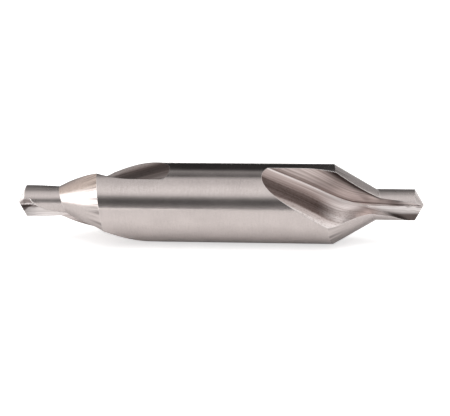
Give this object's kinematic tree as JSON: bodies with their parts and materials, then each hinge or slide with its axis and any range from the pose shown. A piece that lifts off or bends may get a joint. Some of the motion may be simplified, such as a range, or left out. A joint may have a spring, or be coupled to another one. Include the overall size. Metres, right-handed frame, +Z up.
{
  "type": "centre drill",
  "caption": "Double-ended centre drill: a plain round body with a fluted pilot drill and a 60 degree countersink cone at each end, for starting holes and centring work.",
  "frame": {"origin": "on the axis, half-way along the body", "axes": "+X along the axis, from one point to the other; +Z up as pictured"},
  "size_m": [0.064, 0.0124, 0.0125],
  "materials": {
    "ground_steel": "fine circumferential grinding on the body, along the flutes in the flutes"
  },
  "bodies": {
    "root": {"centre_drill": "ground_steel"}
  },
  "joints": []
}
